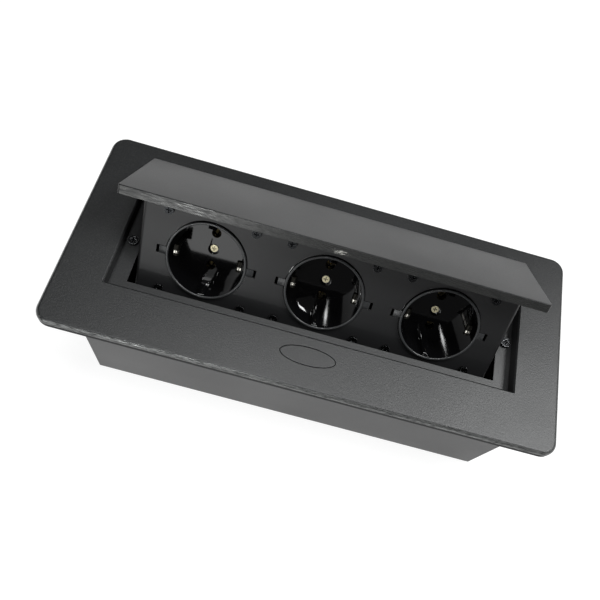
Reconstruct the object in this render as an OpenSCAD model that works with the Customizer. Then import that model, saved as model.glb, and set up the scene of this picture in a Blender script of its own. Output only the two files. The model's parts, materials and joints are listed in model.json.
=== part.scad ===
// Flip-up power box for a desk: a flush plate, a steel tray below it and a sprung unit with three sockets.
// Origin at the middle of the tray's underside, +Z up, the push button on the -Y side.
// The flip unit is drawn closed and then turned about its pivot to the open rest pose.

/* [Desk plate] */
// Length of the plate
plate_w = 270; // [262:1:300]
// Depth of the plate, front to rear
plate_d = 120; // [118:1:136]
// Thickness of the plate
plate_t = 5; // [4.5:0.1:6]
// Corner radius of the plate
plate_corner_r = 8; // [6:1:14]
// Rounding of the plate's upper edge
plate_edge_r = 2.2; // [1.8:0.1:2.4]
// Length of the opening
opening_w = 218.7; // [216:0.1:220]
// Depth of the opening, front to rear
opening_d = 61; // [60:0.5:62]
// Chamfer round the top of the opening
opening_chamfer = 0.8; // [0.4:0.1:1]

/* [Ledge] */
// Thickness of the ledge frame
ledge_t = 1.2; // [1:0.1:1.5]
// Pad under the plate that sets the ledge lower
ledge_drop = 2; // [1.8:0.1:2.4]
// How far the ledge reaches into the opening at the front
ledge_front = 6.4; // [6:0.1:6.8]
// How far the ledge reaches into the opening at each end
ledge_end = 8.6; // [8.2:0.1:9]

/* [Tray] */
// Outer length of the tray
tray_w = 225.6; // [224:0.1:230]
// Outer depth of the tray, front to rear
tray_d = 110.6; // [109:0.1:114]
// Height of the tray below the plate
tray_h = 56.7; // [56:0.1:62]
// Sheet thickness of the tray, the brackets and the socket panel
sheet_t = 1.2; // [1:0.1:1.4]
// Outside bend radius of the tray
tray_bend_r = 1.6; // [1.5:0.1:2]
// Width of the tray's inner flanges
tray_flange = 8; // [7:0.1:8.5]
// Radius of a fixing hole in the tray's end walls
fixing_r = 2.25; // [2:0.05:2.75]

/* [Flip unit] */
// Angle between the closed and the open unit
open_angle = 35.6; // [30:0.2:36]
// Pivot behind the middle of the plate
pivot_y = 43.7; // [43:0.1:44.5]
// Pivot below the top of the plate
pivot_drop = 33; // [32.5:0.1:33.5]
// Radius of the pivot pins
pivot_r = 2.5; // [2:0.1:3]
// Depth of the lid, front to rear
lid_d = 58; // [56:0.5:58.5]
// Thickness of the lid
lid_t = 4.6; // [4:0.1:4.8]
// Gap between the lid and the opening at the front and the ends
lid_gap = 0.6; // [0.4:0.1:1]
// Gap between the turning lid and the opening's rear edge
lid_clear = 0.4; // [0.3:0.1:0.8]
// Lid front to the face of the socket panel
panel_setback = 9.4; // [9:0.1:10]
// Length of the socket panel over its side cheeks
panel_w = 197; // [194:0.5:198]
// Height of the socket panel
panel_h = 52.6; // [52:0.1:53]
// Outside bend radius of the socket panel
panel_bend_r = 2; // [1.6:0.1:3]

/* [Sockets] */
// Distance between socket centres
socket_pitch = 63; // [62:0.1:64]
// Socket centre below the lid
socket_drop = 26.4; // [26:0.1:26.8]
// Inner radius of the plug recess
recess_r = 19.75; // [19.5:0.05:19.9]
// Depth of the plug recess behind the rim
recess_depth = 18.5; // [17.5:0.1:18.5]
// Wall of the recess, also the width of the rim
rim_w = 1.4; // [1.2:0.1:1.6]
// Rim in front of the panel
rim_proud = 1.5; // [1:0.1:2]
// Distance between the two pin holes
pin_pitch = 19; // [18.8:0.1:19.2]
// Radius of a pin hole
pin_r = 2.6; // [2.5:0.05:2.8]
// Sideways distance between panel screws
screw_pitch_x = 44.6; // [44:0.1:45.5]
// Upright distance between panel screws
screw_pitch_up = 44; // [43.5:0.1:44.4]

/* [Button] */
// Length of the oval button
button_l = 29; // [26:0.5:31]
// Width of the oval button
button_w = 9.8; // [9:0.1:10.5]
// Button centre in front of the middle of the plate
button_y = 41.5; // [41:0.1:42]
// Gap round the button
button_gap = 0.25; // [0.2:0.05:0.4]
// Travel of the button
button_travel = 2.5; // [2:0.1:3]

/* [Cord entry] */
// Radius of the bore for the supply cord
cord_r = 4.5; // [4:0.1:5]
// Cord entry left of the middle
gland_x = 50; // [40:1:60]

/* [Hidden] */
$fn = 48;
// Running clearance, and the gap left between bodies that move past each other
running = 0.05;
apart = 0.3;

top_z = tray_h + plate_t;
floor_z = sheet_t;
under_z = tray_h - ledge_drop;
ledge_z = under_z - ledge_t;
ledge_x = opening_w / 2 - ledge_end;
ledge_y = opening_d / 2 - ledge_front;
// The ledge clears the opening's rear edge, where the turning unit passes
ledge_rear = opening_d / 2 + 5.5;
ledge_outer_x = tray_w / 2 - 0.4;
ledge_outer_y = tray_d / 2 - 0.4;
flange_inset = 10;
frame_screw_inset = 32.8;
frame_screw_x = tray_w / 2 - frame_screw_inset;
frame_screw_y = tray_d / 2 - sheet_t - tray_flange / 2;
fixing_y = [-44, -22];
fixing_z = top_z - 20;
pivot_z = top_z - pivot_drop;

// Closed flip unit
lid_w = opening_w - 2 * lid_gap;
lid_y = -opening_d / 2 + lid_gap;
lid_z = top_z - lid_t;
panel_y = lid_y + panel_setback;
panel_z = lid_z - panel_h;
socket_z = lid_z - socket_drop;
cheek_x = panel_w / 2;
lid_corner_r = 1.2;
lid_edge_r = 0.5;
lid_screw_x = [socket_pitch / 2, cheek_x - 8.5];
lid_screw_y = panel_y + 9;
panel_flange = 12.5;
panel_lip = 4.5;
panel_lip_x = 15;
pivot_boss_r = tray_d / 2 - sheet_t - pivot_y - 1.4;
// Distance from the pivot to the corner of the opening that the lid turns past
lid_relief_r = norm([pivot_y - opening_d / 2 - opening_chamfer, pivot_drop]) + lid_clear;

// Sockets, measured behind the panel's face
rim_r = recess_r + rim_w;
rim_clear = 0.4;
floor_w = recess_depth - rim_proud;
socket_floor_t = 3.8;
chamber_w = floor_w + socket_floor_t;
// The centre screw's head sits in a counterbore of the recess floor
centre_head_r = 2.1;
centre_head_t = 1.2;
centre_ring = 1;
centre_sink = 2.6;
centre_seat = floor_w + centre_sink;
chamber_x = 11;
chamber_up = 14;
chamber_wall = 1.2;
cover_t = 1.2;
cover_chamfer = 2.3;
// The closed sockets end this far in front of the opening's rear edge, so that they clear it as they turn
socket_rear_room = 14.5;
chamber_depth = opening_d - lid_gap - panel_setback - chamber_w - cover_t - socket_rear_room;
cover_w = chamber_w + chamber_depth;
flange_x = 50;
flange_up = 48;
socket_flange_t = 2.5;
tab_reach = 5;
tab_slot = 1.3;
tab_h = 4;
tab_clear = 0.2;
strap_w = 6;
strap_t = 0.8;
strap_x = 18;
contact_r = 3.1;
contact_bore_r = 2.45;
contact_slit = 0.8;
// Contacts sit back from the pin holes, and the bus bars lie on their rear ends
contact_share = [0.2, 0.74];
contact_start = chamber_w + chamber_depth * contact_share[0];
contact_end = chamber_w + chamber_depth * contact_share[1];
bar_t = 0.8;
bar_h = 6;

// End brackets, pins and what sits between a bracket and a cheek
bracket_gap = 2.6;
bracket_x = tray_w / 2 - sheet_t - bracket_gap;
leg_x = bracket_x - sheet_t;
bracket_front = -14;
bracket_rear = pivot_y + 8;
bracket_drop = 26;
bracket_bottom = pivot_z - bracket_drop;
strip_screw_x = 105.4;
clip_t = 0.8;
pin_tail = 2;
pin_head_r = 4.5;
pin_head_t = 1.5;

// Small screws
m3_r = 1.5;
m3_head_r = 2.85;
m3_head_t = 1.8;
m2_r = 1.2;
m2_head_r = 2.4;
m2_head_t = 1.4;
blind = 3;

// Rotary damper: a pinion on the right bracket meshes with a toothed sector on the right cheek
gear_module = 0.8;
sector_teeth = 36;
pinion_teeth = 12;
gear_add = 0.75 * gear_module;
gear_ded = 1.1 * gear_module;
gear_backlash = 0.2;
pressure_angle = 20;
sector_r = gear_module * sector_teeth / 2;
pinion_r = gear_module * pinion_teeth / 2;
damper_dir = 240;
damper_y = pivot_y + (sector_r + pinion_r) * cos(damper_dir);
damper_z = pivot_z + (sector_r + pinion_r) * sin(damper_dir);
sector_t = 2;
sector_from = -3;
sector_to = 7;
sector_hub_r = 5;
rivet_r = 1.25;
rivet_ring = 9;
rivet_pad = [11.5, 10.4];
damper_x = cheek_x + sector_t + 4 * apart;
damper_r = 8;
damper_ear = 11;
damper_ear_r = 3;
damper_ear_t = 2;
damper_shaft_r = 1.5;

// Torsion springs round the pivot pins
spring_wire_r = 0.5;
spring_mean_r = pivot_r + 0.9;
spring_turns = 4;
spring_room = leg_x - cheek_x - sector_t - 2 * apart - 2 * spring_wire_r;

// Cheek outline about the pivot, closed
cheek_top = lid_z - pivot_z;
cheek_front = panel_y - pivot_y;
cheek_knee = [-33, 15.5];
cheek_heel = [-6, 10.4];

// The open unit's cheek edge comes to rest against a rubber sleeve on a post
stop_r = 2;
stop_sleeve_r = 3.6;
stop_share = 0.3;
edge_dir = (cheek_knee - cheek_heel) / norm(cheek_knee - cheek_heel);
stop_closed = cheek_heel + (cheek_knee - cheek_heel) * stop_share
    + [-edge_dir[1], edge_dir[0]] * -(stop_sleeve_r + apart);
stop_open = [stop_closed[0] * cos(open_angle) + stop_closed[1] * sin(open_angle),
             stop_closed[1] * cos(open_angle) - stop_closed[0] * sin(open_angle)];

// Release button, its guide and the sprung catch
button_lip = 2;
button_lip_t = 1.9;
button_under = 0.1;
button_lip_z = under_z - button_under - button_lip_t;
button_wire_r = 0.4;
button_turns = 5;
// The spring keeps some room between its turns when the button is down
button_spring_l = 2 * button_wire_r * button_turns + button_travel + 4;
guide_z = button_lip_z - button_spring_l - sheet_t;
rod_r = 2.5;
rod_socket = 2;
guide_x = 19.2;
guide_foot = 8;
guide_d = 9;
catch_w = 10;
catch_t = 0.8;
catch_rise = 12.5;
catch_arm_z = floor_z + catch_rise;
catch_riser_y = -29;
catch_reach = 2.2;
catch_foot = 16;
catch_screw_in = 5;
catch_screw_y = catch_riser_y - catch_foot + catch_screw_in;
rod_bottom = catch_arm_z + apart;

// Cord entry and terminals
gland_drop = 40;
gland_z = top_z - gland_drop;
gland_r = 7.5;
gland_flange_r = 10;
gland_flange_t = 4;
gland_l = 12;
gland_nut_t = 4;
terminal_x = 40;
terminal_y = 24;
terminal_size = [36, 20, 16];
terminal_bore_r = 2.2;
terminal_bore_up = 7;
terminal_bore_z = floor_z + terminal_bore_up;
terminal_screw_r = 2.4;

plate_color = "#3b3c3d";
steel_color = "#3a3b3c";
plastic_color = "#141415";
zinc_color = "#b9bcc0";
brass_color = "#d8cfa0";
rubber_color = "#1b1b1b";

// General shapes

// Rectangle with round corners, centred
module round_rect(w, d, r) {
    square([w - 2 * r, d], center = true);
    square([w, d - 2 * r], center = true);
    for (x = [-1, 1], y = [-1, 1])
        translate([x * (w / 2 - r), y * (d / 2 - r)]) circle(r);
}

// Slab with round corners whose upper edge is rounded by e
module soft_slab(w, d, t, r, e) {
    hull() for (x = [-1, 1], y = [-1, 1], a = [0 : 22.5 : 90])
        translate([x * (w / 2 - r), y * (d / 2 - r), 0])
            cylinder(r = r - e + e * cos(a), h = t - e + e * sin(a), $fn = 32);
}

// Box from one corner to the other
module span(a, b) {
    translate(a) cube(b - a);
}

// Ellipse as a polygon, grown by g
module oval(l, w, g = 0) {
    polygon([for (i = [0 : 71]) [(l / 2 + g) * cos(i * 5), (w / 2 + g) * sin(i * 5)]]);
}

// Cylinder along X from x0 to x1 at a height and depth
module bar_x(x0, x1, y, z, r) {
    translate([min(x0, x1), y, z]) rotate([0, 90, 0]) cylinder(r = r, h = abs(x1 - x0));
}

// Pan-head screw with a cross recess: head from 0 upward, shank of length l downward
module pan_screw(r, head_r, head_t, l) {
    difference() {
        union() {
            translate([0, 0, -l]) cylinder(r = r, h = l);
            cylinder(r = head_r, h = head_t);
        }
        for (a = [0, 90])
            rotate(a) translate([0, 0, head_t]) cube([head_r * 1.2, head_r * 0.28, head_t], center = true);
    }
}

// Round wire wound round +Z, with a straight tangent leg at each end
module coil(mean_r, wire_r, turns, pitch, leg = 0) {
    sides = 6;
    per_turn = 12;
    steps = turns * per_turn;
    function ring(a, shift) = [for (j = [0 : sides - 1])
        let (b = j * 360 / sides, rr = mean_r + wire_r * cos(b))
        [rr * cos(a) - shift * sin(a), rr * sin(a) + shift * cos(a), pitch * a / 360 + wire_r * sin(b)]];
    body = [for (i = [0 : steps]) ring(i * 360 / per_turn, 0)];
    rings = leg > 0 ? concat([ring(0, -leg)], body, [ring(steps * 360 / per_turn, leg)]) : body;
    last = len(rings) - 1;
    sides_faces = [for (i = [0 : last - 1], j = [0 : sides - 1], t = [0, 1])
        let (a = i * sides + j, b = i * sides + (j + 1) % sides, c = b + sides, d = a + sides)
        t == 0 ? [a, b, c] : [a, c, d]];
    first_cap = [for (j = [1 : sides - 2]) [0, j + 1, j]];
    end_cap = [for (j = [1 : sides - 2]) [last * sides, last * sides + j, last * sides + j + 1]];
    polyhedron([for (r = rings, p = r) p], concat(sides_faces, first_cap, end_cap));
}

// Turns the closed flip unit to its open rest pose
module opened() {
    translate([0, pivot_y, pivot_z]) rotate([-open_angle, 0, 0])
        translate([0, -pivot_y, -pivot_z]) children();
}

// Local frame of socket i on the closed panel: x across, -y up, z behind the panel's face
module at_socket(i) {
    translate([(i - 2) * socket_pitch, panel_y, socket_z]) rotate([-90, 0, 0]) children();
}

// Places of the four panel screws round a socket
module at_panel_screws() {
    for (x = [-1, 1], y = [-1, 1])
        translate([x * screw_pitch_x / 2, y * screw_pitch_up / 2, 0]) children();
}

// Places of the frame screws under the plate
module at_frame_screws() {
    for (x = [-frame_screw_x, 0, frame_screw_x])
        translate([x, frame_screw_y, 0]) children();
    for (x = [-frame_screw_x, frame_screw_x])
        translate([x, -frame_screw_y, 0]) children();
}

// Places of the lid screws in the panel's upper flange
module at_lid_screws() {
    for (side = [-1, 1], x = lid_screw_x)
        translate([side * x, lid_screw_y, lid_z]) children();
}

// Polar point
function polar(r, a) = [r * cos(a), r * sin(a)];
// Involute angle in degrees at a pressure angle
function involute(a) = tan(a) * 180 / PI - a;
// One gear tooth's outline about direction c, from root to root
function tooth(teeth, c) =
    let (pitch_r = gear_module * teeth / 2,
         base_r = pitch_r * cos(pressure_angle),
         root_r = pitch_r - gear_ded,
         tip_r = pitch_r + gear_add,
         low_r = max(base_r, root_r),
         half = 90 / teeth - gear_backlash / 4 / pitch_r * 180 / PI + involute(pressure_angle),
         flank = [for (k = [0 : 5]) let (r = low_r + (tip_r - low_r) * k / 5)
                  [r, half - involute(acos(min(1, base_r / r)))]])
    concat([polar(root_r, c - half)],
           [for (p = flank) polar(p[0], c - p[1])],
           [for (k = [5 : -1 : 0]) polar(flank[k][0], c + flank[k][1])],
           [polar(root_r, c + half)]);

// Fixed pieces

// Pad between the plate and the ledge, open behind the opening where the unit turns
module ledge_pad() {
    difference() {
        span([-ledge_outer_x, -ledge_outer_y, under_z], [ledge_outer_x, ledge_outer_y, tray_h + 1]);
        span([-opening_w / 2, -opening_d / 2, under_z - 1], [opening_w / 2, ledge_rear, tray_h]);
    }
}

module top_frame() {
    // The cutter for the opening's chamfer widens by twice the chamfer on each side over twice its height
    chamfer_scale = [1 + 4 * opening_chamfer / opening_w, 1 + 4 * opening_chamfer / opening_d];
    color(plate_color) difference() {
        union() {
            translate([0, 0, tray_h]) soft_slab(plate_w, plate_d, plate_t, plate_corner_r, plate_edge_r);
            ledge_pad();
        }
        translate([-opening_w / 2, -opening_d / 2, under_z - 1])
            cube([opening_w, opening_d, top_z - under_z + 2]);
        translate([0, 0, top_z - opening_chamfer])
            linear_extrude(2 * opening_chamfer, scale = chamfer_scale, slices = 1)
                square([opening_w, opening_d], center = true);
        translate([0, -button_y, under_z - 1])
            linear_extrude(top_z - under_z + 2) oval(button_l, button_w, button_gap);
        translate([0, 0, under_z - 1]) at_frame_screws() cylinder(r = m3_r, h = blind + 1);
    }
}

// Outline of the tray seen from its end, drawn inward by inset
module tray_outline(inset) {
    half = tray_d / 2 - inset;
    bend = tray_bend_r - inset;
    high = ledge_z + inset;
    translate([-half, inset + bend]) square([2 * half, high - inset - bend]);
    translate([-half + bend, inset]) square([2 * (half - bend), high - inset]);
    for (y = [-1, 1])
        translate([y * (half - bend), inset + bend]) circle(bend);
}

// Outline run along X from one place
module along_tray(x, length) {
    translate([x, 0, 0]) rotate([90, 0, 90]) linear_extrude(length) children();
}

module box_tray() {
    flange_z = ledge_z - sheet_t;
    inner_y = tray_d / 2 - sheet_t;
    color(steel_color) difference() {
        union() {
            along_tray(sheet_t - tray_w / 2, tray_w - 2 * sheet_t) difference() {
                tray_outline(0);
                tray_outline(sheet_t);
            }
            for (m = [0, 1]) mirror([0, m, 0])
                translate([-tray_w / 2 + flange_inset, inner_y - tray_flange, flange_z])
                    cube([tray_w - 2 * flange_inset, tray_flange + sheet_t / 2, sheet_t]);
        }
        translate([0, 0, flange_z - 1]) at_frame_screws() cylinder(r = m3_r + 0.2, h = sheet_t + 2);
        translate([0, -button_y, flange_z - 1])
            linear_extrude(sheet_t + 2) oval(button_l, button_w, button_lip + 2 * apart);
        translate([-gland_x, 0, gland_z]) rotate([-90, 0, 0]) cylinder(r = gland_r + 0.1, h = tray_d);
    }
}

// Plates welded into the ends of the folded tray
module tray_ends() {
    color(steel_color) for (m = [0, 1]) mirror([m, 0, 0]) difference() {
        along_tray(tray_w / 2 - sheet_t, sheet_t) tray_outline(0);
        for (y = fixing_y)
            translate([tray_w / 2, y, fixing_z]) rotate([0, 90, 0])
                cylinder(r = fixing_r, h = 4 * sheet_t, center = true);
    }
}

module ledge_frame() {
    color(steel_color) difference() {
        span([-ledge_outer_x, -ledge_outer_y, ledge_z], [ledge_outer_x, ledge_outer_y, under_z]);
        span([-ledge_x, -ledge_y, ledge_z - 1], [ledge_x, ledge_rear, under_z + 1]);
        translate([0, -button_y, ledge_z - 1])
            linear_extrude(ledge_t + 2) oval(button_l, button_w, button_lip + 2 * apart);
        translate([0, 0, ledge_z - 1]) at_frame_screws() cylinder(r = m3_r + 0.2, h = ledge_t + 2);
        for (x = [-1, 1])
            translate([x * strip_screw_x, 0, ledge_z - 1]) cylinder(r = m3_r + 0.2, h = ledge_t + 2);
        for (x = [-1, 1])
            translate([x * (guide_x + guide_foot / 2), -button_y, ledge_z - 1])
                cylinder(r = m2_r, h = ledge_t + 2);
    }
}

// Bracket on the right: a flange under the ledge and a leg that carries the pivot pin
module bracket() {
    flange_z = ledge_z - sheet_t;
    difference() {
        union() {
            span([ledge_x + 0.6, bracket_front, flange_z], [bracket_x, ledge_rear, ledge_z]);
            span([leg_x, bracket_front, bracket_bottom], [bracket_x, bracket_rear, ledge_z]);
        }
        translate([strip_screw_x, 0, flange_z - 1]) cylinder(r = m3_r, h = sheet_t + 2);
        bar_x(leg_x - 1, bracket_x + 1, pivot_y, pivot_z, pivot_r);
        at_stop() bar_x(leg_x - 1, bracket_x + 1, 0, 0, stop_r);
    }
}

module end_bracket_left() {
    color(steel_color) mirror([1, 0, 0]) bracket();
}

module end_bracket_right() {
    color(steel_color) difference() {
        bracket();
        at_damper_screws() bar_x(leg_x - 1, bracket_x + 1, 0, 0, m2_r);
    }
}

module bracket_screws() {
    color(zinc_color) for (x = [-1, 1])
        translate([x * strip_screw_x, 0, under_z]) pan_screw(m3_r, m3_head_r, m3_head_t, ledge_t + sheet_t);
}

module frame_screws() {
    color(zinc_color) at_frame_screws()
        translate([0, 0, ledge_z - sheet_t]) mirror([0, 0, 1])
            pan_screw(m3_r, m3_head_r, m3_head_t, ledge_t + sheet_t + blind);
}

// Pivot pin on the right: head outside the bracket, groove for the clip inside the cheek
module pivot_pin() {
    tail_x = cheek_x - sheet_t - apart - clip_t - pin_tail;
    difference() {
        union() {
            bar_x(tail_x, bracket_x, pivot_y, pivot_z, pivot_r);
            bar_x(bracket_x, bracket_x + pin_head_t, pivot_y, pivot_z, pin_head_r);
        }
        difference() {
            bar_x(tail_x + pin_tail, tail_x + pin_tail + clip_t, pivot_y, pivot_z, pivot_r + 1);
            bar_x(tail_x, tail_x + 2 * pin_tail, pivot_y, pivot_z, pivot_r - 0.5);
        }
    }
}

module pivot_pin_left() {
    color(zinc_color) mirror([1, 0, 0]) pivot_pin();
}

module pivot_pin_right() {
    color(zinc_color) pivot_pin();
}

module pin_clips() {
    x0 = cheek_x - sheet_t - apart - clip_t;
    color(zinc_color) for (m = [0, 1]) mirror([m, 0, 0]) difference() {
        bar_x(x0, x0 + clip_t, pivot_y, pivot_z, pivot_r + 2);
        bar_x(x0 - 1, x0 + clip_t + 1, pivot_y, pivot_z, pivot_r - 0.5);
        span([x0 - 1, pivot_y - 1.5, pivot_z - pivot_r - 3], [x0 + clip_t + 1, pivot_y + 1.5, pivot_z]);
    }
}

module torsion_spring() {
    translate([cheek_x + sector_t + apart + spring_wire_r, pivot_y, pivot_z]) rotate([0, 90, 0])
        coil(spring_mean_r, spring_wire_r, spring_turns, spring_room / spring_turns, 9);
}

module torsion_spring_left() {
    color(zinc_color) mirror([1, 0, 0]) torsion_spring();
}

module torsion_spring_right() {
    color(zinc_color) torsion_spring();
}

module at_stop() {
    translate([0, pivot_y + stop_open[0], pivot_z + stop_open[1]]) children();
}

module stop_posts() {
    color(zinc_color) for (m = [0, 1]) mirror([m, 0, 0])
        at_stop() bar_x(cheek_x - 2 * sheet_t, bracket_x, 0, 0, stop_r);
}

module stop_sleeves() {
    color(rubber_color) for (m = [0, 1]) mirror([m, 0, 0]) at_stop() difference() {
        bar_x(cheek_x - 2 * sheet_t, leg_x, 0, 0, stop_sleeve_r);
        bar_x(cheek_x - 3 * sheet_t, leg_x + 1, 0, 0, stop_r);
    }
}

// Damper

module at_damper_screws() {
    for (y = [-1, 1])
        translate([0, damper_y + y * damper_ear, damper_z]) children();
}

module damper_housing() {
    ear_x = leg_x - damper_ear_t;
    color(plastic_color) difference() {
        union() {
            bar_x(damper_x, leg_x, damper_y, damper_z, damper_r);
            at_damper_screws() bar_x(ear_x, leg_x, 0, 0, damper_ear_r);
            span([ear_x, damper_y - damper_ear, damper_z - damper_ear_r],
                 [leg_x, damper_y + damper_ear, damper_z + damper_ear_r]);
        }
        bar_x(damper_x - 1, damper_x + 3, damper_y, damper_z, damper_shaft_r + running);
        at_damper_screws() bar_x(damper_x, leg_x + 1, 0, 0, m2_r);
    }
}

module damper_screws() {
    color(zinc_color) at_damper_screws() translate([leg_x - damper_ear_t, 0, 0]) rotate([0, -90, 0])
        pan_screw(m2_r, m2_head_r, m2_head_t, damper_ear_t + sheet_t);
}

module damper_pinion() {
    color("#e6e2d6") translate([cheek_x + apart, damper_y, damper_z]) rotate([90, 0, 90]) {
        linear_extrude(damper_x - cheek_x - 2 * apart)
            polygon([for (i = [0 : pinion_teeth - 1]) each
                     tooth(pinion_teeth, damper_dir + 180 + (i + 0.5) * 360 / pinion_teeth)]);
        cylinder(r = damper_shaft_r, h = damper_x - cheek_x + 2);
    }
}

// Button, guide and catch

module release_button() {
    color(plate_color) translate([0, -button_y, button_lip_z]) difference() {
        union() {
            linear_extrude(top_z - button_lip_z) oval(button_l, button_w);
            linear_extrude(button_lip_t) oval(button_l, button_w, button_lip);
        }
        translate([0, 0, -1]) cylinder(r = rod_r, h = rod_socket + 1);
    }
}

module push_rod() {
    rod_top = button_lip_z + rod_socket;
    color(zinc_color) translate([0, -button_y, rod_bottom]) cylinder(r = rod_r, h = rod_top - rod_bottom);
}

module button_guide() {
    y0 = -button_y - guide_d / 2;
    y1 = -button_y + guide_d / 2;
    leg_in = guide_x - sheet_t;
    color(steel_color) difference() {
        union() {
            span([-guide_x, y0, guide_z], [guide_x, y1, guide_z + sheet_t]);
            for (m = [0, 1]) mirror([m, 0, 0]) {
                span([leg_in, y0, guide_z], [guide_x, y1, ledge_z]);
                span([leg_in, y0, ledge_z - sheet_t], [guide_x + guide_foot, y1, ledge_z]);
            }
        }
        translate([0, -button_y, guide_z - 1]) cylinder(r = rod_r + running, h = sheet_t + 2);
        for (x = [-1, 1])
            translate([x * (guide_x + guide_foot / 2), -button_y, ledge_z - sheet_t - 1])
                cylinder(r = m2_r + 0.1, h = sheet_t + 2);
    }
}

module guide_screws() {
    color(zinc_color) for (x = [-1, 1])
        translate([x * (guide_x + guide_foot / 2), -button_y, ledge_z - sheet_t]) mirror([0, 0, 1])
            pan_screw(m2_r, m2_head_r, m2_head_t, sheet_t + ledge_t);
}

module button_spring() {
    coil_l = button_spring_l - 2 * button_wire_r;
    color(zinc_color) translate([0, -button_y, guide_z + sheet_t + button_wire_r])
        coil(rod_r + 1, button_wire_r, button_turns, coil_l / button_turns);
}

// Spring-steel strip: a foot on the floor, a riser with a nose over the panel's lip, an arm under the rod
module catch_spring() {
    nose_z = panel_z + sheet_t + apart;
    nose_y = panel_y - panel_lip + catch_reach;
    color(zinc_color) difference() {
        union() {
            span([-catch_w / 2, catch_riser_y - catch_foot, floor_z],
                 [catch_w / 2, catch_riser_y, floor_z + catch_t]);
            span([-catch_w / 2, catch_riser_y - catch_t, floor_z],
                 [catch_w / 2, catch_riser_y, catch_arm_z]);
            span([-catch_w / 2, -button_y - 2 * rod_r, catch_arm_z - catch_t],
                 [catch_w / 2, catch_riser_y, catch_arm_z]);
            translate([-catch_w / 2, 0, 0]) rotate([90, 0, 90]) linear_extrude(catch_w)
                polygon([[catch_riser_y - catch_t / 2, nose_z], [nose_y, nose_z],
                         [catch_riser_y - catch_t / 2, nose_z + 4]]);
        }
        translate([0, catch_screw_y, 0]) cylinder(r = m3_r, h = floor_z + 2 * catch_t);
    }
}

module catch_screw() {
    color(zinc_color) translate([0, catch_screw_y, floor_z + catch_t])
        pan_screw(m3_r, m3_head_r, m3_head_t, catch_t);
}

// Cord entry and terminals

module gland_body() {
    wall_y = tray_d / 2;
    color(plastic_color) translate([-gland_x, 0, gland_z]) rotate([-90, 0, 0]) difference() {
        union() {
            translate([0, 0, wall_y - gland_l]) cylinder(r = gland_r, h = gland_l + gland_flange_t);
            translate([0, 0, wall_y]) cylinder(r = gland_flange_r, h = gland_flange_t);
        }
        translate([0, 0, wall_y - gland_l - 1]) cylinder(r = cord_r, h = gland_l + gland_flange_t + 2);
    }
}

module gland_nut() {
    nut_y = tray_d / 2 - sheet_t - gland_nut_t;
    color(plastic_color) translate([-gland_x, nut_y, gland_z]) rotate([-90, 0, 0]) difference() {
        cylinder(r = gland_flange_r + 1, h = gland_nut_t, $fn = 6);
        translate([0, 0, -1]) cylinder(r = gland_r, h = gland_nut_t + 2);
    }
}

module at_terminals() {
    for (i = [0 : 2], y = [-1, 1])
        translate([terminal_x + (i + 0.5) * terminal_size[0] / 3,
                   terminal_y + terminal_size[1] / 2 + y * terminal_size[1] / 4,
                   floor_z + terminal_size[2]]) children();
}

module terminal_block() {
    color("#d9d7cf") difference() {
        translate([terminal_x, terminal_y, floor_z]) cube(terminal_size);
        at_terminals() translate([0, 0, -blind]) cylinder(r = terminal_screw_r + 0.1, h = blind + 1);
        for (i = [0 : 2])
            translate([terminal_x + (i + 0.5) * terminal_size[0] / 3, terminal_y - 1, terminal_bore_z])
                rotate([-90, 0, 0]) cylinder(r = terminal_bore_r, h = terminal_size[1] + 2);
    }
}

module terminal_screws() {
    color(brass_color) at_terminals() translate([0, 0, -blind]) difference() {
        cylinder(r = terminal_screw_r, h = blind - 0.5);
        translate([0, 0, blind - 0.5]) cube([3 * terminal_screw_r, 0.8, 1.6], center = true);
    }
}

// Flip unit

module lid() {
    color(plate_color) opened() difference() {
        translate([0, lid_y + lid_d / 2, lid_z]) soft_slab(lid_w, lid_d, lid_t, lid_corner_r, lid_edge_r);
        bar_x(-lid_w, lid_w, pivot_y, pivot_z, lid_relief_r);
        at_lid_screws() translate([0, 0, -1]) cylinder(r = m3_r, h = blind + 1);
    }
}

// Cheek on the right as a plate
module cheek() {
    translate([cheek_x - sheet_t, pivot_y, pivot_z]) rotate([90, 0, 90]) difference() {
        linear_extrude(sheet_t) {
            polygon([[cheek_front + panel_bend_r, cheek_top], [cheek_front + 7, cheek_top],
                     cheek_knee, cheek_heel, [0, pivot_boss_r], [0, -pivot_boss_r],
                     [cheek_front + panel_bend_r, panel_z - pivot_z]]);
            circle(pivot_boss_r);
        }
        translate([0, 0, -1]) cylinder(r = pivot_r + running, h = sheet_t + 2);
    }
}

// Quarter bend between the panel and the cheek on the right
module panel_bend() {
    translate([cheek_x - panel_bend_r, panel_y + panel_bend_r, panel_z]) intersection() {
        difference() {
            cylinder(r = panel_bend_r, h = panel_h);
            translate([0, 0, -1]) cylinder(r = panel_bend_r - sheet_t, h = panel_h + 2);
        }
        translate([0, -panel_bend_r, 0]) cube([panel_bend_r, panel_bend_r, panel_h]);
    }
}

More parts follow.
